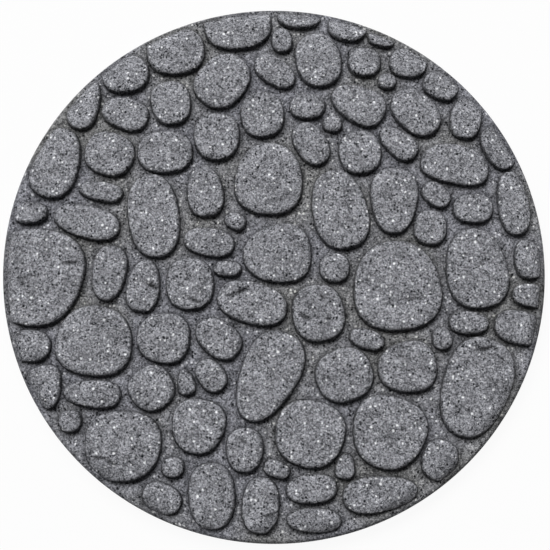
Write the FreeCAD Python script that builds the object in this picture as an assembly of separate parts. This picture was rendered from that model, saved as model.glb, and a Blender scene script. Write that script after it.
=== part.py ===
"""Round garden stepping stone, moulded in one piece, with a raised pebble pattern on its top.

One solid: a flat disc with a rounded rim, and pebbles that stand up from its floor. Towards the
rim the pebbles fall away to the floor under one rounded crown.
All sizes are in millimetres. The stone lies flat on z = 0, centred on the z axis.
"""
import math
import os
from collections import namedtuple

import FreeCAD
import Part

# Driving sizes
STONE_DIAMETER = 457.2      # across the rim
FLOOR_THICKNESS = 13.0      # underside to the floor between the pebbles
PEBBLE_HEIGHT = 6.0         # floor to the tops of the pebbles
RIM_ROUNDING = 4.0          # radius of the rounded upper edge of the rim
FOOT_ROUNDING = 1.5         # radius of the rounded lower edge of the rim
WALL_RUN = 1.4              # how far a pebble's foot stands out past its crest
SHOULDER = 3.0              # how far in from the crest a pebble's top levels out
EDGE_CROWN = 17.0           # radius of the rounding that brings pebbles down towards the rim
ROOT_DEPTH = 1.0            # how far a pebble runs on below the floor and below the rim's rounding

# A pebble's section in shares of its wall run or shoulder, and of the pebble height
WALL_SECTION = [(0.45, 0.37), (1.0, 0.74)]
SHOULDER_SECTION = [(0.35, 0.90), (1.0, 1.0)]
SHOULDER_SHARE = 0.45       # the most of a narrow pebble's half width that its shoulder takes

# The pattern was drawn for this diameter, and grows and shrinks with the stone
LAYOUT_DIAMETER = 457.2
OUTLINE_POWER = 2.35        # 2 gives ellipses, higher numbers squarer pebbles
OUTLINE_POINTS = 24

Pebble = namedtuple("Pebble", "ax ay bx by wa wb bow", defaults=(0.0,))

# Each pebble by the two ends of its long axis, its width near each end, and how far its
# axis bows to the left. Row by row from the far side of the stone to the near side.
PEBBLES = [
    Pebble(-60, 209.5, -3, 214.5, 43, 43),
    Pebble(-110, 187, -61, 190, 42, 42),
    Pebble(-148, 165, -109, 170, 33, 33),
    Pebble(-169, 118.5, -157, 161, 26, 22),
    Pebble(-193, 58, -179, 118, 41, 37),
    Pebble(-220, 43.7, -192, 44.7, 17.5, 17.5),
    Pebble(-147, 137.5, -109, 126, 25, 28.5),
    Pebble(-93, 160, -84.5, 122.5, 34, 32),
    Pebble(-61, 142.5, -28, 180.5, 43, 41),
    Pebble(5.5, 209, 8.3, 187.8, 16, 17),
    Pebble(4, 221.3, 40, 220.3, 22, 22),
    Pebble(33.3, 203.7, 44, 157, 38, 38),
    Pebble(48.3, 213, 79.5, 206.5, 23, 23),
    Pebble(83, 203, 104, 197, 14, 14),
    Pebble(65, 179.5, 92, 177.5, 25, 25),
    Pebble(90.5, 162.5, 105, 159.5, 13, 13),
    Pebble(101, 179.7, 132, 175.7, 26, 25),
    Pebble(131, 164, 157, 149, 23, 22),
    Pebble(106, 150, 138, 116, 33, 33),
    Pebble(167, 145, 163, 109.7, 25, 26),
    Pebble(184, 119, 199, 83, 24, 22),
    Pebble(126, 90, 182, 78, 34, 34, 3),
    Pebble(51, 151, 94, 129.7, 28, 35),
    Pebble(14.5, 138, 43.5, 139, 22, 22),
    Pebble(42.5, 123.5, 58, 121.5, 13.5, 13.5),
    Pebble(-12, 151, -8, 111, 36, 36),
    Pebble(-50, 131.5, -48, 90.7, 39, 36.5),
    Pebble(-116, 97, -70, 98, 36, 36),
    Pebble(-160, 103, -121, 89, 37, 37),
    Pebble(-165, 66, -129, 60, 15, 17),
    Pebble(-185, 43.5, -131, 29.4, 26, 28),
    Pebble(-195, 29.5, -202, -52, 82, 71),
    Pebble(-135, 15.5, -141, -30.5, 29, 26),
    Pebble(-107, 77, -96.5, 6.2, 42, 42),
    Pebble(-61, 84, -55.7, 41.2, 28, 31),
    Pebble(-40.5, 41, -25, 33, 13, 14),
    Pebble(-2.5, 105, -6, 43, 53, 59),
    Pebble(22, 122, 41.5, 88, 26, 26),
    Pebble(71, 116, 76, 79, 35, 35),
    Pebble(92.5, 117, 120.5, 94, 19, 23),
    Pebble(48, 80.8, 63.5, 14, 43, 47.5),
    Pebble(103, 83, 101, 26.5, 42, 35),
    Pebble(128, 68, 147.5, 52, 18, 18),
    Pebble(152, 48, 185, 48, 24, 25),
    Pebble(200, 79.6, 206, 25.4, 24, 26),
    Pebble(133.5, 46, 130.5, 17, 26, 27),
    Pebble(165, 30, 175, -37, 47, 53),
    Pebble(211, 21, 216, -12, 20, 23),
    Pebble(51, 9, 51, -15, 24, 24),
    Pebble(100, 19.5, 106, -55.5, 67, 76),
    Pebble(-25, 5.7, 30.5, 12.2, 44.5, 53),
    Pebble(-75, 22.5, -34, 15.5, 23, 24),
    Pebble(-50, -3.6, -27.5, -4.1, 12.5, 12.5),
    Pebble(-72, 5, -68.5, -38, 38, 39),
    Pebble(-106.5, 3.6, -111.5, -40, 24, 28),
    Pebble(-14, 182, 16, 158, 24, 22),
    Pebble(-46, -25, 10, -41, 34, 34),
    Pebble(-145.5, -35.5, -152, -93, 58, 65),
    Pebble(-218, -66.5, -185.5, -70.5, 25, 26),
    Pebble(-113, -60.5, -70.3, -63.8, 39, 43),
    Pebble(-62, -50, -30.3, -74.7, 27, 29.5),
    Pebble(-193, -86, -182.6, -119.5, 30, 20),
    Pebble(-172.5, -106.8, -126.5, -109.8, 19.5, 23.5),
    Pebble(-110.7, -89, -90.4, -118.4, 36, 35),
    Pebble(-74.5, -88.5, -70.5, -109, 11, 15),
    Pebble(-60.5, -82, -43, -104.5, 20.5, 21.5),
    Pebble(12, -59, -21.5, -129.5, 50.5, 41),
    Pebble(-167, -122, -166, -139, 18, 17),
    Pebble(-121.7, -122.8, -124.2, -178.5, 63, 58.5),
    Pebble(-58, -113.5, -65.5, -156.5, 45, 39),
    Pebble(-83, -160, -81, -175.5, 17, 17),
    Pebble(-105, -185.5, -76, -198.5, 22, 22),
    Pebble(-24, -136.5, -23.5, -171.5, 30, 28),
    Pebble(-52, -164.5, -48.5, -216, 37, 36),
    Pebble(-9.5, -176, -12, -219.5, 29, 29),
    Pebble(-7.5, -165.5, 12.2, -173, 13.5, 13),
    Pebble(33, -18, 41, -64.5, 42, 43),
    Pebble(63.5, -58.6, 90.5, -67.6, 16, 16),
    Pebble(50, -72.8, 66, -112.8, 46, 46),
    Pebble(86.5, -89.7, 133.5, -82.8, 39, 43.5),
    Pebble(138, -53.5, 141, -71.5, 14.5, 15.5),
    Pebble(146, -48.5, 178, -50.5, 19, 17.5),
    Pebble(200, -25, 228, -28, 19, 19),
    Pebble(184, -49, 221, -57.5, 27, 28),
    Pebble(181, -64, 151, -142, 57, 50),
    Pebble(35.2, -114.5, 23.8, -167, 57.2, 54),
    Pebble(102.6, -112, 85.3, -168, 63, 54),
    Pebble(141, -147, 128, -176.5, 28, 26),
    Pebble(59.4, -157, 56.6, -177, 12.2, 16.6),
    Pebble(10.5, -186.5, 50.5, -183.5, 22, 23),
    Pebble(56.5, -192.5, 115.5, -185, 30, 24),
    Pebble(11, -209, 53.5, -210, 18, 18),
]


def round_circle(solid, height, rounding):
    """Rounds the circular edge of a disc that lies at that height."""
    circles = [e for e in solid.Edges if isinstance(e.Curve, Part.Circle)]
    nearest = min(circles, key=lambda e: abs(e.CenterOfMass.z - height))
    return solid.makeFillet(rounding, [nearest])


def rounded_disc(radius, height):
    """A solid disc on z = 0 with the rim's rounded upper and lower edges."""
    disc = round_circle(Part.makeCylinder(radius, height), height, RIM_ROUNDING)
    return round_circle(disc, 0, FOOT_ROUNDING)


def crowned_disc(radius, top):
    """A disc deeper than the stone, its upper edge rounded by the crown."""
    disc = Part.makeCylinder(radius, top + EDGE_CROWN, FreeCAD.Vector(0, 0, -EDGE_CROWN))
    return round_circle(disc, top, EDGE_CROWN)


def outline(pebble, scale, grow):
    """Points round a pebble's outline as (x, y), grown outward from its crest.

    The outline is a superellipse on the pebble's long axis. Its width runs evenly from one end's
    to the other's, and its axis bows sideways most in the middle.
    """
    ax, ay, bx, by = [scale * v for v in pebble[:4]]
    length = math.hypot(bx - ax, by - ay)
    dir_x, dir_y = (bx - ax) / length, (by - ay) / length
    mid_x, mid_y = (ax + bx) / 2, (ay + by) / 2
    points = []
    for k in range(OUTLINE_POINTS):
        turn = 2 * math.pi * k / OUTLINE_POINTS
        c, s = math.cos(turn), math.sin(turn)
        u = math.copysign(abs(c) ** (2 / OUTLINE_POWER), c)
        v = math.copysign(abs(s) ** (2 / OUTLINE_POWER), s)
        half = scale * ((pebble.wa + pebble.wb) / 4 + u * (pebble.wb - pebble.wa) / 2)
        along = u * (length / 2 + grow)
        across = v * (half + grow) + scale * pebble.bow * (1 - u * u)
        points.append((mid_x + along * dir_x - across * dir_y, mid_y + along * dir_y + across * dir_x))
    return points


def ring(points, height):
    """A smooth closed wire through the points at that height, evenly parametrised."""
    even = [k / len(points) for k in range(len(points) + 1)]
    curve = Part.BSplineCurve()
    curve.interpolate(
        Points=[FreeCAD.Vector(x, y, height) for x, y in points], PeriodicFlag=True, Parameters=even)
    return Part.Wire([curve.toShape()])


def make_pebble(pebble, scale):
    """One pebble: upright below the floor, a drafted wall, a rounded shoulder and a flat top."""
    narrow = scale * min(pebble.wa, pebble.wb) / 2
    inset = min(SHOULDER, SHOULDER_SHARE * narrow)
    floor = FLOOR_THICKNESS
    section = [(WALL_RUN, floor - RIM_ROUNDING - ROOT_DEPTH), (WALL_RUN, floor - ROOT_DEPTH)]
    section += [((1 - run) * WALL_RUN, floor + rise * PEBBLE_HEIGHT) for run, rise in WALL_SECTION]
    section += [(-run * inset, floor + rise * PEBBLE_HEIGHT) for run, rise in SHOULDER_SECTION]
    rings = [ring(outline(pebble, scale, grow), height) for grow, height in section]
    return Part.makeLoft(rings, True, False)


def reaches_crown(pebble, scale, radius):
    """Whether a pebble's foot comes past that radius, into the stone's crowned edge."""
    return any(math.hypot(x, y) > radius for x, y in outline(pebble, scale, WALL_RUN))


def make_stone():
    """The disc and its pebbles, joined into one solid."""
    radius = STONE_DIAMETER / 2
    scale = STONE_DIAMETER / LAYOUT_DIAMETER
    slab = rounded_disc(radius, FLOOR_THICKNESS)
    crown = crowned_disc(radius, FLOOR_THICKNESS + PEBBLE_HEIGHT)
    pebbles = []
    for pebble in PEBBLES:
        solid = make_pebble(pebble, scale)
        if reaches_crown(pebble, scale, radius - EDGE_CROWN):
            solid = solid.common(crown)
        pebbles.append(solid)
    solids = slab.multiFuse(pebbles).Solids
    return solids[0] if len(solids) == 1 else Part.makeCompound(solids)


stone = make_stone()
os.makedirs("parts", exist_ok=True)
stone.exportStep("parts/stepping_stone.step")
print("solids", len(stone.Solids), "valid", stone.isValid(), "faces", len(stone.Faces),
      "volume", round(stone.Volume / 1000.0, 1), "cm3")
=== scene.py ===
"""Garden stepping stone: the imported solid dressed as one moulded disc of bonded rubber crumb.

Lengths are in millimetres until a mesh is filled, and the frame's metres from there on.
"""
import math

import bpy
import numpy as np
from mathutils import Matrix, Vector, geometry


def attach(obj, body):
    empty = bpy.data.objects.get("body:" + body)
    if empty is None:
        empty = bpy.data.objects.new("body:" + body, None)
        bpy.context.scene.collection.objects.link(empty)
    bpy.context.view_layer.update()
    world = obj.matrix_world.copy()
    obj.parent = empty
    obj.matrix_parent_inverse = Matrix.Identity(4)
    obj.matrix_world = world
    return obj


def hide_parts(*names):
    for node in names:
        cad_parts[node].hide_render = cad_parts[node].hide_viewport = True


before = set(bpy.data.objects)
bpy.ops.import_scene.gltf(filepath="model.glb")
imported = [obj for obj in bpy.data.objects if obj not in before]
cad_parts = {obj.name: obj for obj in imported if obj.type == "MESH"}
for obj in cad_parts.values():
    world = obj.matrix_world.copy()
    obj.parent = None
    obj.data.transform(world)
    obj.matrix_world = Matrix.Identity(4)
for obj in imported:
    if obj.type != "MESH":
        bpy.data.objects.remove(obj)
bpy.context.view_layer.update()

MM = 0.001

# Sizes of the stone, the same as in the part's source but for the radius, which is a tenth less
# so that the edge stays within the solid's facets
STONE_RADIUS = 228.5
FLOOR_HEIGHT = 13.0         # underside to the floor between the pebbles
PEBBLE_HEIGHT = 6.0         # floor to the tops of the pebbles
RIM_ROUNDING = 4.0
FOOT_ROUNDING = 1.5
WALL_RUN = 1.4              # how far a pebble's foot stands out past its crest
SHOULDER = 3.0              # how far in from the crest a pebble's top levels out
SHOULDER_SHARE = 0.45       # the most of a narrow pebble's half width that its shoulder takes
EDGE_CROWN = 17.0           # radius of the rounding that brings pebbles down towards the rim
OUTLINE_POWER = 2.35

# A pebble's section from foot to top. Each ring gives the share of the wall run that it stands
# out past the crest, the share of the shoulder that it is drawn in, the share of the height that
# it has risen, and how far it stops inside the circle where the crowned edge meets the floor.
SECTION = [
    (1.00, 0.00, 0.000, 0.0),
    (0.84, 0.00, 0.050, 0.5),
    (0.55, 0.00, 0.370, 1.0),
    (0.00, 0.00, 0.740, 1.5),
    (0.00, 0.14, 0.820, 2.1),
    (0.00, 0.35, 0.890, 2.7),
    (0.00, 0.65, 0.940, 3.3),
    (0.00, 1.00, 0.970, 4.0),
]

# Spacing of the mesh's points
AROUND_SPACING = 1.7        # along a pebble's foot
LEAST_AROUND = 22           # places around the smallest pebbles
FLOOR_SPACING = 1.9
TOP_SPACING = 2.3
DENT_SPACING = 0.6          # on a pebble's top near a dent
DENT_REACH = 3.2            # how far from a dent the points are that close
NUDGE = 0.12                # share of the spacing by which chance moves a point
RIM_PLACES = 720            # around the stone's edge
RIM_LEANS = [0, 14, 28, 42, 56, 73]     # of the rings over the rim's rounding, in degrees
SIDE_HEIGHTS = [6.5, 4.0]               # of the rings on the upright side
FOOT_LEANS = [0, 22.5, 45, 67.5, 90]    # of the rings round the lower edge, in degrees
UNDER_REACHES = [170, 110, 50]          # from the axis to the rings on the underside
OUTLINE_STEPS = 720                     # in which a foot's length is measured
CROWN_STEPS = 2000                      # in which the crown's foot is looked for
MERGE_DISTANCE = 1e-7                   # points closer than this would become one

# How far points keep from the rings and circles at the borders of their face
FOOT_CLEAR = 0.55           # on the floor, from a pebble's foot
CROWN_CLEAR = 0.5           # on the floor, from where the crowned edge comes down to it
RIM_CLEAR = 0.6 * FLOOR_SPACING
TOP_CLEAR = 0.5 * TOP_SPACING

# Seeds of chance
FLOOR_SEED, TOP_SEED, DENT_SEED, WALL_SEED = 3, 5, 8, 11

# Unevenness of the moulded faces
WAVINESS = 0.25             # how deep the slow waves go
PEBBLE_DROP = 0.35          # how much lower than the highest a pebble may stand
DROP_STEP = 0.618           # share of that drop from one pebble to the next, wrapped round at 1
RAGGED = 0.3                # how far granules stand in or out of a pebble's wall
DENT_END = 0.12             # share of half a sine wave cut off at each end of a dent

# Painted shade on the floor along the pebbles' feet and in the dents, from 0 to 1
FOOT_SHADE = 0.5             # along a pebble's foot
NOOK_REACH = 3.2            # how far from there it thins out over the floor
DENT_SHADE = 0.62            # for each millimetre of a dent's depth

# Grain of the rubber
COARSE_GRANULE = 1.5
FINE_GRANULE = 0.85
FINE_TONE = 0.62            # how much of the tone comes from the fine granules
FINE_DOMES = 0.4            # and how much of the height
BEND_SIZE = 1.8             # of the noise that makes granules ragged
BEND = 1.8                  # how far that noise moves them from end to end
GRAIN_DEPTH = 0.5
MOTTLE_SIZE = 11.0          # of lighter and darker patches
SOIL_SIZE = 70.0            # of patches of drier and damper dust

# Studio
FILL_STRENGTH = 0.06        # of the room's even light
PAPER_WHITE = 0.94          # how much of the floor's white is its own, the rest being lit
PAPER_HALF = 30000.0        # half the floor's width
PAPER_DROP = 0.2            # how far it lies below the stone

# The photograph's camera
LENS, SENSOR = 73.78, 36.0
LENS_SHIFT = (0.002, -0.01765)
CAMERA_LEAN = 10.6          # degrees off the vertical, towards the near side
CAMERA_DISTANCE = 950.0
CAMERA_AIM = 11.2           # height of the point on the stone's axis that it is turned about

# Each pebble by the two ends of its long axis, its width near each end, and how far its axis bows
# to the left: ax, ay, bx, by, wa, wb, bow. The same rows as in the part's source.
PEBBLES = np.array([
    (-60, 209.5, -3, 214.5, 43, 43, 0),
    (-110, 187, -61, 190, 42, 42, 0),
    (-148, 165, -109, 170, 33, 33, 0),
    (-169, 118.5, -157, 161, 26, 22, 0),
    (-193, 58, -179, 118, 41, 37, 0),
    (-220, 43.7, -192, 44.7, 17.5, 17.5, 0),
    (-147, 137.5, -109, 126, 25, 28.5, 0),
    (-93, 160, -84.5, 122.5, 34, 32, 0),
    (-61, 142.5, -28, 180.5, 43, 41, 0),
    (5.5, 209, 8.3, 187.8, 16, 17, 0),
    (4, 221.3, 40, 220.3, 22, 22, 0),
    (33.3, 203.7, 44, 157, 38, 38, 0),
    (48.3, 213, 79.5, 206.5, 23, 23, 0),
    (83, 203, 104, 197, 14, 14, 0),
    (65, 179.5, 92, 177.5, 25, 25, 0),
    (90.5, 162.5, 105, 159.5, 13, 13, 0),
    (101, 179.7, 132, 175.7, 26, 25, 0),
    (131, 164, 157, 149, 23, 22, 0),
    (106, 150, 138, 116, 33, 33, 0),
    (167, 145, 163, 109.7, 25, 26, 0),
    (184, 119, 199, 83, 24, 22, 0),
    (126, 90, 182, 78, 34, 34, 3),
    (51, 151, 94, 129.7, 28, 35, 0),
    (14.5, 138, 43.5, 139, 22, 22, 0),
    (42.5, 123.5, 58, 121.5, 13.5, 13.5, 0),
    (-12, 151, -8, 111, 36, 36, 0),
    (-50, 131.5, -48, 90.7, 39, 36.5, 0),
    (-116, 97, -70, 98, 36, 36, 0),
    (-160, 103, -121, 89, 37, 37, 0),
    (-165, 66, -129, 60, 15, 17, 0),
    (-185, 43.5, -131, 29.4, 26, 28, 0),
    (-195, 29.5, -202, -52, 82, 71, 0),
    (-135, 15.5, -141, -30.5, 29, 26, 0),
    (-107, 77, -96.5, 6.2, 42, 42, 0),
    (-61, 84, -55.7, 41.2, 28, 31, 0),
    (-40.5, 41, -25, 33, 13, 14, 0),
    (-2.5, 105, -6, 43, 53, 59, 0),
    (22, 122, 41.5, 88, 26, 26, 0),
    (71, 116, 76, 79, 35, 35, 0),
    (92.5, 117, 120.5, 94, 19, 23, 0),
    (48, 80.8, 63.5, 14, 43, 47.5, 0),
    (103, 83, 101, 26.5, 42, 35, 0),
    (128, 68, 147.5, 52, 18, 18, 0),
    (152, 48, 185, 48, 24, 25, 0),
    (200, 79.6, 206, 25.4, 24, 26, 0),
    (133.5, 46, 130.5, 17, 26, 27, 0),
    (165, 30, 175, -37, 47, 53, 0),
    (211, 21, 216, -12, 20, 23, 0),
    (51, 9, 51, -15, 24, 24, 0),
    (100, 19.5, 106, -55.5, 67, 76, 0),
    (-25, 5.7, 30.5, 12.2, 44.5, 53, 0),
    (-75, 22.5, -34, 15.5, 23, 24, 0),
    (-50, -3.6, -27.5, -4.1, 12.5, 12.5, 0),
    (-72, 5, -68.5, -38, 38, 39, 0),
    (-106.5, 3.6, -111.5, -40, 24, 28, 0),
    (-14, 182, 16, 158, 24, 22, 0),
    (-46, -25, 10, -41, 34, 34, 0),
    (-145.5, -35.5, -152, -93, 58, 65, 0),
    (-218, -66.5, -185.5, -70.5, 25, 26, 0),
    (-113, -60.5, -70.3, -63.8, 39, 43, 0),
    (-62, -50, -30.3, -74.7, 27, 29.5, 0),
    (-193, -86, -182.6, -119.5, 30, 20, 0),
    (-172.5, -106.8, -126.5, -109.8, 19.5, 23.5, 0),
    (-110.7, -89, -90.4, -118.4, 36, 35, 0),
    (-74.5, -88.5, -70.5, -109, 11, 15, 0),
    (-60.5, -82, -43, -104.5, 20.5, 21.5, 0),
    (12, -59, -21.5, -129.5, 50.5, 41, 0),
    (-167, -122, -166, -139, 18, 17, 0),
    (-121.7, -122.8, -124.2, -178.5, 63, 58.5, 0),
    (-58, -113.5, -65.5, -156.5, 45, 39, 0),
    (-83, -160, -81, -175.5, 17, 17, 0),
    (-105, -185.5, -76, -198.5, 22, 22, 0),
    (-24, -136.5, -23.5, -171.5, 30, 28, 0),
    (-52, -164.5, -48.5, -216, 37, 36, 0),
    (-9.5, -176, -12, -219.5, 29, 29, 0),
    (-7.5, -165.5, 12.2, -173, 13.5, 13, 0),
    (33, -18, 41, -64.5, 42, 43, 0),
    (63.5, -58.6, 90.5, -67.6, 16, 16, 0),
    (50, -72.8, 66, -112.8, 46, 46, 0),
    (86.5, -89.7, 133.5, -82.8, 39, 43.5, 0),
    (138, -53.5, 141, -71.5, 14.5, 15.5, 0),
    (146, -48.5, 178, -50.5, 19, 17.5, 0),
    (200, -25, 228, -28, 19, 19, 0),
    (184, -49, 221, -57.5, 27, 28, 0),
    (181, -64, 151, -142, 57, 50, 0),
    (35.2, -114.5, 23.8, -167, 57.2, 54, 0),
    (102.6, -112, 85.3, -168, 63, 54, 0),
    (141, -147, 128, -176.5, 28, 26, 0),
    (59.4, -157, 56.6, -177, 12.2, 16.6, 0),
    (10.5, -186.5, 50.5, -183.5, 22, 23, 0),
    (56.5, -192.5, 115.5, -185, 30, 24, 0),
    (11, -209, 53.5, -210, 18, 18, 0),
], dtype=float)

# Dents pressed into single pebbles: from x, y to x, y, half width and depth
DENTS = [
    (-40, -27.5, -30.5, -26, 1.3, 1.2),
    (-32, -25, -20, -20.3, 1.6, 1.9),
    (165, -73, 183, -70, 1.7, 1.6),
    (105, -31, 125, -29, 1.5, 1.0),
    (-72, -28, -60, -34, 1.6, 1.6),
    (-79, -16.5, -74, -19.5, 1.3, 1.2),
    (-107, -16.5, -97, -21.5, 1.6, 1.7),
    (21, -41.5, 30, -48, 1.6, 1.5),
    (38.5, -25.5, 42, -30, 1.4, 1.6),
    (43.5, -45.5, 47, -47.5, 1.3, 1.6),
    (-177, 0, -164, 1.5, 1.5, 1.5),
    (-214, -15.5, -201, -10, 2.4, 0.8),
    (-148, -159.5, -137, -161.5, 1.5, 1.4),
    (-137, -161.5, -128, -166.5, 1.5, 1.2),
    (-7, 52, 14, 57, 1.8, 0.7),
    (-9, -207, 4, -204.5, 1.4, 1.2),
    (-30, -143, -20, -151.5, 1.4, 1.2),
    (-31, 161, -25, 153, 1.4, 0.9),
    (-176, -65, -166, -60, 1.4, 0.8),
]


# Shape

def outline(pebble, turn, grow):
    """Plan points of a pebble's outline, grown outward from its crest.

    A superellipse on the long axis: the cosine of the turn runs along it and the sine across it,
    each raised to 2 over the power with its sign kept. The half width runs evenly from one end's
    to the other's, and the axis bows sideways by one less the square of the place along it.
    """
    start, end = pebble[:2], pebble[2:4]
    wide_start, wide_end, bow = pebble[4:]
    length = np.hypot(*(end - start))
    axis = (end - start) / length
    side = np.array([-axis[1], axis[0]])
    u = np.sign(np.cos(turn)) * np.abs(np.cos(turn)) ** (2 / OUTLINE_POWER)
    v = np.sign(np.sin(turn)) * np.abs(np.sin(turn)) ** (2 / OUTLINE_POWER)
    half = (wide_start + wide_end) / 4 + u * (wide_end - wide_start) / 2
    along = u * (length / 2 + grow)
    across = v * (half + grow) + bow * (1 - u * u)
    return (start + end) / 2 + np.outer(along, axis) + np.outer(across, side)


def share_of_outline(pebble, plan, grow):
    """How far out plan points lie in a pebble: 0 in its middle, 1 on its outline, more outside.

    The outline's formula turned round: the place along and across the axis over the half length
    and half width there, each to the power, summed, and the root taken.
    """
    start, end = pebble[:2], pebble[2:4]
    wide_start, wide_end, bow = pebble[4:]
    length = np.hypot(*(end - start))
    axis = (end - start) / length
    side = np.array([-axis[1], axis[0]])
    off = plan - (start + end) / 2
    u = off @ axis / (length / 2 + grow)
    near = np.clip(u, -1, 1)
    half = (wide_start + wide_end) / 4 + near * (wide_end - wide_start) / 2
    v = (off @ side - bow * (1 - near * near)) / (half + grow)
    return (np.abs(u) ** OUTLINE_POWER + np.abs(v) ** OUTLINE_POWER) ** (1 / OUTLINE_POWER)


def keep_inside(plan, middle, radius):
    """Draws plan points outside a circle about the stone's axis back to it, towards a middle.

    On the line from the middle to a point, the share at which it crosses the circle is the larger
    root of a quadratic; a point keeps its place where that share is more than one.
    """
    off = plan - middle
    a = (off * off).sum(1)
    b = off @ middle
    c = middle @ middle - radius * radius
    share = (-b + np.sqrt(b * b - a * c)) / a
    return middle + np.minimum(share, 1)[:, None] * off


def rounded_top(reach, rounding, height):
    """Height of a disc's top at a distance from the axis: level, then down a quarter circle."""
    over = np.clip(reach - (STONE_RADIUS - rounding), 0, rounding)
    return height - rounding + np.sqrt(rounding ** 2 - over ** 2)


def floor_height(reach):
    """Height of the floor and of the rim's rounding at a distance from the axis."""
    return rounded_top(reach, RIM_ROUNDING, FLOOR_HEIGHT)


def crown_height(reach):
    """The most that a pebble's top can reach at a distance from the axis."""
    return rounded_top(reach, EDGE_CROWN, FLOOR_HEIGHT + PEBBLE_HEIGHT)


def crown_foot():
    """Distance from the axis at which the crowned edge comes down to the floor or the rim."""
    reach = np.linspace(STONE_RADIUS - EDGE_CROWN, STONE_RADIUS, CROWN_STEPS + 1)
    return reach[np.argmax(crown_height(reach) <= floor_height(reach))]


CROWN_FOOT = crown_foot()


def unevenness(plan):
    """Slow waviness of a moulded face, from 0 to 1: sines of 17 to 47 mm that run five ways."""
    turn = np.radians([12, 67, 101, 143, 31])
    length = np.array([47.0, 33.0, 25.0, 21.0, 17.0])
    phase = np.array([0.4, 2.1, 4.4, 1.3, 3.2])
    ways = np.array([np.cos(turn), np.sin(turn)]) * 2 * np.pi / length
    return 0.5 + 0.5 / len(length) * np.sin(plan @ ways + phase).sum(1)


def along_dent(plan, dent):
    """The share of the way along a dent's line nearest to each plan point, and how far off it is."""
    start = np.array(dent[:2])
    run = np.array(dent[2:4]) - start
    share = np.clip((plan - start) @ run / (run @ run), 0, 1)
    return share, np.hypot(*(plan - start - share[:, None] * run).T)


def dent_depth(plan):
    """Depth of the dents: each is a bell of the distance from its line, times half a sine along it."""
    depth = np.zeros(len(plan))
    for dent in DENTS:
        share, away = along_dent(plan, dent)
        half_width, deep = dent[4:]
        ends = np.sin(np.pi * (DENT_END + (1 - 2 * DENT_END) * share))
        depth += deep * np.exp(-(away / half_width) ** 2) * ends
    return depth


def near_dent(plan):
    """Which plan points lie near a dent's line."""
    return np.any([along_dent(plan, dent)[1] < DENT_REACH for dent in DENTS], axis=0)


def nearness(plan):
    """How near plan points lie to a pebble's foot: 1 on it or inside, falling as a bell outside.

    The distance to a foot is taken along the line from the pebble's middle.
    """
    away = np.full(len(plan), np.inf)
    for pebble in PEBBLES:
        share = np.maximum(share_of_outline(pebble, plan, WALL_RUN), 1)
        reach = np.hypot(*(plan - (pebble[:2] + pebble[2:4]) / 2).T)
        away = np.minimum(away, reach * (1 - 1 / share))
    return np.exp(-(away / NOOK_REACH) ** 2)


def shoulder_of(pebble):
    """How far in from its crest this pebble's top levels out."""
    return min(SHOULDER, SHOULDER_SHARE * min(pebble[4], pebble[5]) / 2)


def pebble_wall(pebble, chance):
    """A pebble's wall and shoulder: its section carried round its outline, rings by places around.

    Each ring is the outline grown or drawn in as the section says and kept inside a circle near
    the rim. Places are even by length along the foot, and heights stay under the crowned edge.
    Between the foot and the top, chance moves each point a little in or out.
    """
    middle = (pebble[:2] + pebble[2:4]) / 2
    dense = np.linspace(0, 2 * np.pi, OUTLINE_STEPS + 1)
    foot = outline(pebble, dense, WALL_RUN)
    reach = np.hypot(*foot.T)
    if reach.max() > CROWN_FOOT:
        middle = middle / np.hypot(*middle) * (reach.min() + CROWN_FOOT) / 2
    foot = keep_inside(foot, middle, CROWN_FOOT)
    walked = np.concatenate([[0], np.cumsum(np.hypot(*np.diff(foot, axis=0).T))])
    places = max(LEAST_AROUND, round(walked[-1] / AROUND_SPACING))
    turn = np.interp(np.arange(places) / places * walked[-1], walked, dense)
    rings = []
    for wall, shoulder, rise, step in SECTION:
        ragged = RAGGED * chance.uniform(-1, 1, places) * (0 < rise < SECTION[-1][2])
        grow = wall * WALL_RUN - shoulder * shoulder_of(pebble) + ragged
        plan = keep_inside(outline(pebble, turn, grow), middle, CROWN_FOOT - step)
        reach = np.hypot(*plan.T)
        height = np.minimum(floor_height(reach) + rise * PEBBLE_HEIGHT, crown_height(reach))
        rings.append(np.column_stack([plan, height]))
    return np.array(rings)


def spread_points(spacing, seed):
    """Plan points over the stone in offset rows, each nudged a little at random."""
    rows = np.arange(-STONE_RADIUS, STONE_RADIUS, spacing * math.sqrt(0.75))
    places = np.arange(-STONE_RADIUS, STONE_RADIUS, spacing)
    x, y = np.meshgrid(places, rows)
    x[1::2] += spacing / 2
    plan = np.column_stack([x.ravel(), y.ravel()])
    return plan + np.random.default_rng(seed).uniform(-NUDGE, NUDGE, plan.shape) * spacing


def floor_points():
    """Plan points on the floor clear of every pebble's foot, with rings over the rim's rounding."""
    level = STONE_RADIUS - RIM_ROUNDING
    plan = spread_points(FLOOR_SPACING, FLOOR_SEED)
    plan = plan[np.hypot(*plan.T) < level - RIM_CLEAR]
    turn = np.linspace(0, 2 * np.pi, RIM_PLACES, endpoint=False)
    for lean in np.radians(RIM_LEANS):
        reach = level + RIM_ROUNDING * math.sin(lean)
        plan = np.vstack([plan, reach * np.column_stack([np.cos(turn), np.sin(turn)])])
    for pebble in PEBBLES:
        outside = share_of_outline(pebble, plan, WALL_RUN + FOOT_CLEAR) > 1
        plan = plan[outside | (np.hypot(*plan.T) > CROWN_FOOT + CROWN_CLEAR)]
    return np.column_stack([plan, floor_height(np.hypot(*plan.T))])


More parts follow.
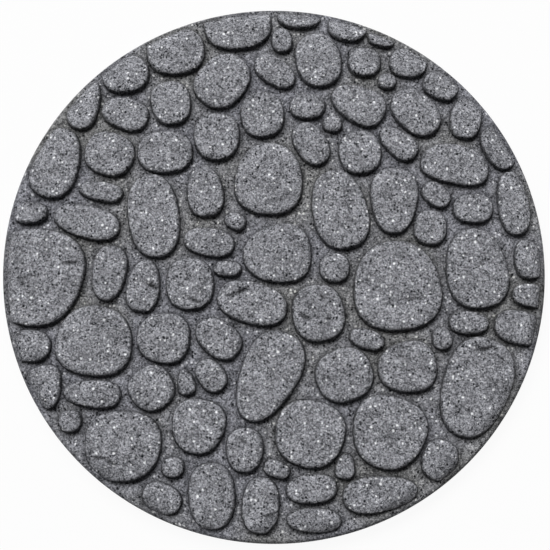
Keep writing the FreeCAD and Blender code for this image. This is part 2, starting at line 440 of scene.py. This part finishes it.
def top_points(pebble, spread):
    """Points inside a pebble's level top, out of those spread over the stone.

    The top is crowned: its height grows by one less the square of the share of the way out.
    """
    inset = shoulder_of(pebble)
    plan = spread[share_of_outline(pebble, spread, -inset - TOP_CLEAR) < 1]
    plan = plan[np.hypot(*plan.T) < CROWN_FOOT - SECTION[-1][3] - TOP_CLEAR]
    level = SECTION[-1][2]
    rise = level + (1 - level) * (1 - share_of_outline(pebble, plan, -inset) ** 2)
    height = np.minimum(FLOOR_HEIGHT + rise * PEBBLE_HEIGHT, crown_height(np.hypot(*plan.T)))
    return np.column_stack([plan, height])


def side_and_underside():
    """The stone's edge and underside: a profile of distance and height carried round the axis.

    From the rim's rounding it falls straight, turns under by a quarter circle and runs inwards.
    """
    lean = np.radians(FOOT_LEANS)
    under = STONE_RADIUS - FOOT_ROUNDING
    upright = [FLOOR_HEIGHT - RIM_ROUNDING, *SIDE_HEIGHTS]
    reach = np.concatenate([[STONE_RADIUS] * len(upright),
                            under + FOOT_ROUNDING * np.cos(lean), UNDER_REACHES])
    height = np.concatenate([upright, FOOT_ROUNDING * (1 - np.sin(lean)), [0] * len(UNDER_REACHES)])
    turn = np.linspace(0, 2 * np.pi, RIM_PLACES, endpoint=False)
    return np.stack([np.outer(reach, np.cos(turn)), np.outer(reach, np.sin(turn)),
                     np.outer(height, np.ones(RIM_PLACES))], axis=-1)


def ring_faces(grid):
    """Four-cornered faces between neighbouring rings of a grid of vertex numbers, closed around."""
    ahead = np.roll(grid, -1, axis=1)
    return np.stack([grid[:-1], ahead[:-1], ahead[1:], grid[1:]], axis=-1).reshape(-1, 4)


def fill_between(points, loops):
    """Triangles that join plan points and keep every loop's edges."""
    edges = np.vstack([np.column_stack([loop, np.roll(loop, -1)]) for loop in loops])
    plan = [Vector(p) for p in points[:, :2].tolist()]
    result = geometry.delaunay_2d_cdt(plan, edges.tolist(), [], 0, MERGE_DISTANCE, True)
    first = np.array([ids[0] for ids in result[3]])
    return first[np.array(result[2])]


def build_stone():
    """The whole stone as one closed mesh.

    Pebble walls and the edge are grids; the floor and the pebble tops are filled in plan between
    the rings at their borders. Waviness, dents and a small drop of each pebble lower the points.
    Gives the points, the four- and three-cornered faces, and for each point whether it is on a
    foot, which pebble it is on or -1, and how far down towards the floor it belongs.
    """
    grids, blocks, owner, rise = [], [], [], []
    count = 0

    def keep(block, number, lift):
        """Adds points of one pebble, or of none, with their share of its rise; gives their numbers."""
        nonlocal count
        numbers = np.arange(count, count + len(block))
        count += len(block)
        blocks.append(block)
        owner.append(np.full(len(block), number))
        rise.append(np.broadcast_to(lift, len(block)))
        return numbers

    lifts = np.array([row[2] for row in SECTION])
    chance = np.random.default_rng(WALL_SEED)
    for number, pebble in enumerate(PEBBLES):
        wall = pebble_wall(pebble, chance)
        flat = keep(wall.reshape(-1, 3), number, np.repeat(lifts, wall.shape[1]))
        grids.append(flat.reshape(wall.shape[:2]))
    edge = side_and_underside()
    edge_grid = keep(edge.reshape(-1, 3), -1, 0.0).reshape(edge.shape[:2])
    pole = keep(np.zeros((1, 3)), -1, 0.0)
    free = [keep(floor_points(), -1, 0.0)]
    coarse, fine = spread_points(TOP_SPACING, TOP_SEED), spread_points(DENT_SPACING, DENT_SEED)
    spread = np.vstack([coarse[~near_dent(coarse)], fine[near_dent(fine)]])
    for number, pebble in enumerate(PEBBLES):
        free.append(keep(top_points(pebble, spread), number, 1.0))
    points, owner, rise = np.vstack(blocks), np.concatenate(owner), np.concatenate(rise)

    # Floor and tops, without the triangles that bridge a pebble's foot and its top
    loops = [grid[k] for grid in grids for k in (0, -1)] + [edge_grid[0]]
    in_plan = np.concatenate(loops + free)
    place = np.full(len(points), -1)
    place[in_plan] = np.arange(len(in_plan))
    filled = in_plan[fill_between(points[in_plan], [place[loop] for loop in loops])]
    foot = np.zeros(len(points), bool)
    foot[np.concatenate([grid[0] for grid in grids])] = True
    same = (owner[filled] == owner[filled[:, :1]]).all(1) & (owner[filled[:, 0]] >= 0)
    filled = filled[~(same & foot[filled].any(1))]

    # Lower the points, the foot and the floor least
    number = np.maximum(owner, 0)
    drop = np.where(owner >= 0, PEBBLE_DROP * (number * DROP_STEP % 1), 0)
    on_top = points[:, 2] > FLOOR_HEIGHT - RIM_ROUNDING
    lowered = rise * (drop + dent_depth(points[:, :2])) + WAVINESS * unevenness(points[:, :2])
    points[:, 2] -= np.where(on_top, lowered, 0)

    quads = np.vstack([ring_faces(grid) for grid in grids] + [ring_faces(edge_grid)[:, ::-1]])
    last = edge_grid[-1]
    fan = np.column_stack([last, np.full(RIM_PLACES, pole[0]), np.roll(last, -1)])
    return points, quads, np.vstack([filled, fan]), foot, owner, 1 - rise


def fill_mesh(name, points, quads, triangles):
    """A mesh object at the origin from points in millimetres and whole arrays of faces."""
    mesh = bpy.data.meshes.new(name)
    mesh.vertices.add(len(points))
    mesh.vertices.foreach_set("co", (points * MM).astype(np.float32).ravel())
    corners = np.concatenate([quads.ravel(), triangles.ravel()])
    mesh.loops.add(len(corners))
    mesh.loops.foreach_set("vertex_index", corners.astype(np.int32))
    mesh.polygons.add(len(quads) + len(triangles))
    starts = np.concatenate([np.arange(len(quads)) * 4, quads.size + np.arange(len(triangles)) * 3])
    mesh.polygons.foreach_set("loop_start", starts.astype(np.int32))
    mesh.update(calc_edges=True)
    mesh.shade_smooth()
    piece = bpy.data.objects.new(name, mesh)
    bpy.context.scene.collection.objects.link(piece)
    return piece


def steepness(piece, foot, owner):
    """How steep a pebble is at each vertex: one less the upright part of its normal.

    It is 0 at the feet and on the rest of the stone.
    """
    normals = np.empty(len(piece.data.vertices) * 3, np.float32)
    piece.data.vertex_normals.foreach_get("vector", normals)
    steep = 1 - np.clip(normals.reshape(-1, 3)[:, 2], 0, 1)
    return np.where(foot | (owner < 0), 0, steep)


def crease_feet(piece, foot, owner):
    """Marks the edges along the pebbles' feet as sharp, so that wall and floor shade apart."""
    mesh = piece.data
    ends = np.empty(len(mesh.edges) * 2, np.int32)
    mesh.edges.foreach_get("vertices", ends)
    ends = ends.reshape(-1, 2)
    sharp = foot[ends].all(1) & (owner[ends[:, 0]] == owner[ends[:, 1]])
    mesh.attributes.new("sharp_edge", "BOOLEAN", "EDGE").data.foreach_set("value", sharp)


# Materials

def linear(hex_colour):
    """An sRGB hex colour as linear red, green, blue and alpha."""
    parts = np.array([int(hex_colour[k:k + 2], 16) for k in (1, 3, 5)]) / 255
    flat = np.where(parts <= 0.04045, parts / 12.92, ((parts + 0.055) / 1.055) ** 2.4)
    return (*flat.tolist(), 1.0)


def add_node(tree, kind, inputs=None, stops=None, **settings):
    """Adds a node, with its settings, its ramp stops if it has them, and its values or links.

    Sockets go by name or by number. A Mix node's factor is 0, what it mixes 2 and 3 for numbers
    or 6 and 7 for colours.
    """
    node = tree.nodes.new("ShaderNode" + kind)
    for name, value in settings.items():
        setattr(node, name, value)
    if stops:
        ramp = node.color_ramp
        while len(ramp.elements) < len(stops):
            ramp.elements.new(0.5)
        for stop, (place, colour) in zip(ramp.elements, stops):
            stop.position, stop.color = place, colour
    for name, value in (inputs or {}).items():
        if isinstance(value, bpy.types.NodeSocket):
            tree.links.new(value, node.inputs[name])
        else:
            node.inputs[name].default_value = value
    return node


def per_metre(size_mm):
    """Texture scale that gives cells of a size in millimetres on coordinates in metres."""
    return 1000.0 / size_mm


def grey(value):
    """A ramp stop's colour for a plain number."""
    return (value, value, value, 1.0)


def new_material(name):
    """An empty node material and its tree."""
    material = bpy.data.materials.new(name)
    material.use_nodes = True
    material.node_tree.nodes.clear()
    return material, material.node_tree


def scattered_spots(tree, place, cell, largest, spread):
    """A mask of round spots, one at most in each cell, all lengths in millimetres.

    The distance from the cell's point has the cell's own chance number times the spread added to
    it, and the mask fades from 1 to 0 as that sum nears the largest radius.
    """
    fade = 0.6              # share of the largest radius at which the mask starts to fade
    cells = add_node(tree, "TexVoronoi", {"Vector": place, "Scale": per_metre(cell)})
    chance = add_node(tree, "SeparateColor", {0: cells.outputs["Color"]}).outputs[0]
    away = add_node(tree, "Math", {0: chance, 1: spread / cell, 2: cells.outputs["Distance"]},
                    operation="MULTIPLY_ADD").outputs[0]
    return add_node(tree, "ValToRGB", {0: away}, stops=[
        (fade * largest / cell, grey(1.0)), (largest / cell, grey(0.0))]).outputs[0]


def bonded_rubber_crumb():
    """Ground tyre rubber pressed with a binder: dull dark and mid grey granules of 1 to 2 mm, a few
    pale flecks and open pits between granules. It has no gloss, and dust greys it in the grooves.
    Painted shade darkens the crevices between granules, the pits, the floor along the feet, the dents and
    the steep walls."""
    material, tree = new_material("bonded_rubber_crumb")
    place = add_node(tree, "TexCoord").outputs["Object"]
    colour_mix = {"data_type": "RGBA"}
    multiply = {"data_type": "RGBA", "blend_type": "MULTIPLY"}

    # Granules: coarse and fine cells on coordinates that a noise bends, each with its own tone,
    # and painted shade in the crevices where they meet
    noise = add_node(tree, "TexNoise", {"Vector": place, "Scale": per_metre(BEND_SIZE), "Detail": 1.0})
    shift = add_node(tree, "VectorMath", {0: noise.outputs["Color"], 1: (0.5, 0.5, 0.5)},
                     operation="SUBTRACT")
    bend = add_node(tree, "VectorMath", {0: shift.outputs[0], "Scale": BEND * MM}, operation="SCALE")
    bent = add_node(tree, "VectorMath", {0: place, 1: bend.outputs[0]}, operation="ADD").outputs[0]
    coarse = add_node(tree, "TexVoronoi", {"Vector": bent, "Scale": per_metre(COARSE_GRANULE)})
    fine = add_node(tree, "TexVoronoi", {"Vector": bent, "Scale": per_metre(FINE_GRANULE)})
    coarse_tone = add_node(tree, "SeparateColor", {0: coarse.outputs["Color"]}).outputs[0]
    fine_tone = add_node(tree, "SeparateColor", {0: fine.outputs["Color"]}).outputs[0]
    tone = add_node(tree, "Mix", {0: FINE_TONE, 2: coarse_tone, 3: fine_tone}).outputs[0]
    granules = add_node(tree, "ValToRGB", {0: tone}, stops=[
        (0.08, linear("#303134")), (0.38, linear("#7f8085")),
        (0.62, linear("#a0a1a7")), (0.92, linear("#cbccd2"))]).outputs[0]
    gap_shade = add_node(tree, "ValToRGB", {0: coarse.outputs["Distance"]}, stops=[
        (0.45, grey(1.0)), (0.80, grey(0.62))]).outputs[0]
    crumb = add_node(tree, "Mix", {0: 1.0, 6: granules, 7: gap_shade}, **multiply).outputs[2]

    # Open pits painted near-black as painted shade inside them, and pale flecks, the flecks on coordinates
    # moved well away from the pits'
    pit_mask = scattered_spots(tree, bent, cell=2.6, largest=1.27, spread=2.0)
    pit_shaded_crumb = add_node(tree, "Mix", {0: pit_mask, 6: crumb, 7: linear("#1e1f22")}, **colour_mix).outputs[2]
    moved = add_node(tree, "VectorMath", {0: bent, 1: (0.31, 0.17, 0.23)}, operation="ADD").outputs[0]
    fleck_mask = scattered_spots(tree, moved, cell=3.6, largest=1.42, spread=2.6)
    flecked = add_node(tree, "Mix", {0: fleck_mask, 6: pit_shaded_crumb, 7: linear("#f2f3f6")}, **colour_mix)

    # Lighter and darker patches
    patches = add_node(tree, "TexNoise", {"Vector": place, "Scale": per_metre(MOTTLE_SIZE), "Detail": 2.0})
    mottle = add_node(tree, "ValToRGB", {0: patches.outputs["Fac"]}, stops=[
        (0.30, grey(0.76)), (0.70, grey(1.22))]).outputs[0]

    # Dust over the floor; painted shade on the floor along the feet and in the dents, and painted shade on
    # the steep pebble walls
    groove, nook_shade, steep = [add_node(tree, "Attribute", attribute_name=name).outputs["Fac"]
                           for name in ("groove", "nook_shade", "steep")]
    drift = add_node(tree, "TexNoise", {"Vector": place, "Scale": per_metre(SOIL_SIZE), "Detail": 1.0})
    soil = add_node(tree, "ValToRGB", {0: drift.outputs["Fac"]}, stops=[
        (0.42, linear("#f6f6f9")), (0.66, linear("#f4f3ec"))]).outputs[0]
    dust = add_node(tree, "Mix", {0: groove, 6: grey(1.0), 7: soil}, **colour_mix).outputs[2]
    # Painted shade: the nooks along the pebbles' feet and the dents are darkened down to 0.18
    painted_nook_shade = add_node(tree, "ValToRGB", {0: nook_shade}, stops=[
        (0.0, grey(1.0)), (0.5, grey(0.58)), (1.0, grey(0.18))]).outputs[0]
    # Painted shade: steep pebble walls darkened down to 0.36, the steeper the darker
    painted_wall_shade = add_node(tree, "ValToRGB", {0: steep}, stops=[
        (0.002, grey(1.0)), (0.05, grey(0.98)), (0.30, grey(0.86)), (0.7, grey(0.36))]).outputs[0]
    colour = flecked.outputs[2]
    for shade in (mottle, dust, painted_nook_shade, painted_wall_shade):
        colour = add_node(tree, "Mix", {0: 1.0, 6: colour, 7: shade}, **multiply).outputs[2]

    # Granules stand up as small domes, and pits sink
    domes = add_node(tree, "Mix", {
        0: FINE_DOMES, 2: coarse.outputs["Distance"], 3: fine.outputs["Distance"]}).outputs[0]
    sunk = add_node(tree, "Math", {0: domes, 1: pit_mask}, operation="ADD").outputs[0]
    relief = add_node(tree, "Bump", {"Height": sunk, "Strength": 0.55, "Distance": GRAIN_DEPTH * MM},
                      invert=True)
    rubber = add_node(tree, "BsdfPrincipled", {
        "Base Color": colour, "Roughness": 0.94, "IOR": 1.52, "Specular IOR Level": 0.06,
        "Normal": relief.outputs[0]})
    add_node(tree, "OutputMaterial", {0: rubber.outputs[0]})
    return material


def shown_to_camera(tree):
    """1 for rays from the camera and for those that gloss or glass send on, 0 for other light."""
    path = add_node(tree, "LightPath")
    gloss = add_node(tree, "Math", {0: path.outputs["Is Camera Ray"], 1: path.outputs["Is Glossy Ray"]},
                     operation="ADD", use_clamp=True)
    return add_node(tree, "Math", {0: gloss.outputs[0], 1: path.outputs["Is Transmission Ray"]},
                    operation="ADD", use_clamp=True).outputs[0]


def pale_floor():
    """Matt white studio paper that the camera sees almost pure white, with a trace of shadow left."""
    material, tree = new_material("white_studio_paper")
    part = add_node(tree, "Math", {0: shown_to_camera(tree), 1: PAPER_WHITE},
                    operation="MULTIPLY").outputs[0]
    paper = add_node(tree, "BsdfDiffuse", {"Color": linear("#e6e6e6")})
    white = add_node(tree, "Emission", {"Color": grey(1.0), "Strength": 1.0})
    mixed = add_node(tree, "MixShader", {0: part, 1: paper.outputs[0], 2: white.outputs[0]})
    add_node(tree, "OutputMaterial", {0: mixed.outputs[0]})
    return material


# Stage, light and camera

def make_floor():
    """A flat sheet far wider than the stone, just under its underside."""
    square = np.array([(-1, -1), (1, -1), (1, 1), (-1, 1)]) * PAPER_HALF
    corners = np.column_stack([square, np.full(4, -PAPER_DROP)])
    sheet = fill_mesh("studio_floor", corners, np.array([[0, 1, 2, 3]]), np.empty((0, 3), int))
    sheet.data.materials.append(pale_floor())


def make_world():
    """The far floor's white where the camera looks past it; elsewhere a weak even light."""
    world = bpy.data.worlds.new("soft_room")
    bpy.context.scene.world = world
    world.use_nodes = True
    tree = world.node_tree
    tree.nodes.clear()
    room = add_node(tree, "Background", {"Color": grey(1.0), "Strength": FILL_STRENGTH})
    white = add_node(tree, "Background", {"Color": grey(1.0), "Strength": PAPER_WHITE})
    mixed = add_node(tree, "MixShader", {0: shown_to_camera(tree), 1: room.outputs[0], 2: white.outputs[0]})
    add_node(tree, "OutputWorld", {0: mixed.outputs[0]})


def soft_box(name, bearing, elevation, distance, wide, high, watts):
    """A rectangular lamp that faces the stone, in metres and degrees.

    The bearing is clockwise from the far side.
    """
    lamp = bpy.data.lights.new(name, "AREA")
    lamp.shape, lamp.size, lamp.size_y, lamp.energy = "RECTANGLE", wide, high, watts
    box = bpy.data.objects.new(name, lamp)
    a, e = math.radians(bearing), math.radians(elevation)
    way = Vector((math.sin(a) * math.cos(e), math.cos(a) * math.cos(e), math.sin(e)))
    box.location = way * distance
    box.rotation_euler = way.to_track_quat("Z", "Y").to_euler()
    bpy.context.scene.collection.objects.link(box)


def make_camera():
    """The photograph's camera: nearly straight above, leaning to the near side."""
    lens = bpy.data.cameras.new("photo_camera")
    lens.sensor_width, lens.lens = SENSOR, LENS
    lens.shift_x, lens.shift_y = LENS_SHIFT
    camera = bpy.data.objects.new("photo_camera", lens)
    lean = math.radians(CAMERA_LEAN)
    back = Vector((0, -math.sin(lean), math.cos(lean)))
    camera.location = back * (CAMERA_DISTANCE * MM) + Vector((0, 0, CAMERA_AIM * MM))
    camera.rotation_euler = (lean, 0, 0)
    bpy.context.scene.collection.objects.link(camera)
    bpy.context.scene.camera = camera


# The dressed stone on its stage

points, quads, triangles, foot, owner, groove = build_stone()
stone = fill_mesh("stepping_stone_moulding", points, quads, triangles)
crease_feet(stone, foot, owner)
# Painted shade: the floor darkened along the pebbles' feet, and the pebble tops darkened in the dents
nook_shade = np.maximum(FOOT_SHADE * groove * nearness(points[:, :2]),
                  (1 - groove) * np.minimum(DENT_SHADE * dent_depth(points[:, :2]), 1))
for name, values in (("groove", groove), ("nook_shade", nook_shade), ("steep", steepness(stone, foot, owner))):
    stone.data.attributes.new(name, "FLOAT", "POINT").data.foreach_set("value", values.astype(np.float32))
stone.data.materials.append(bonded_rubber_crumb())
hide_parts("stepping_stone")
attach(stone, "root")

make_floor()
make_world()
soft_box("key_softbox", bearing=-22, elevation=49, distance=6.0, wide=8.0, high=3.0, watts=516)
make_camera()
bpy.context.scene.view_settings.view_transform = "Standard"
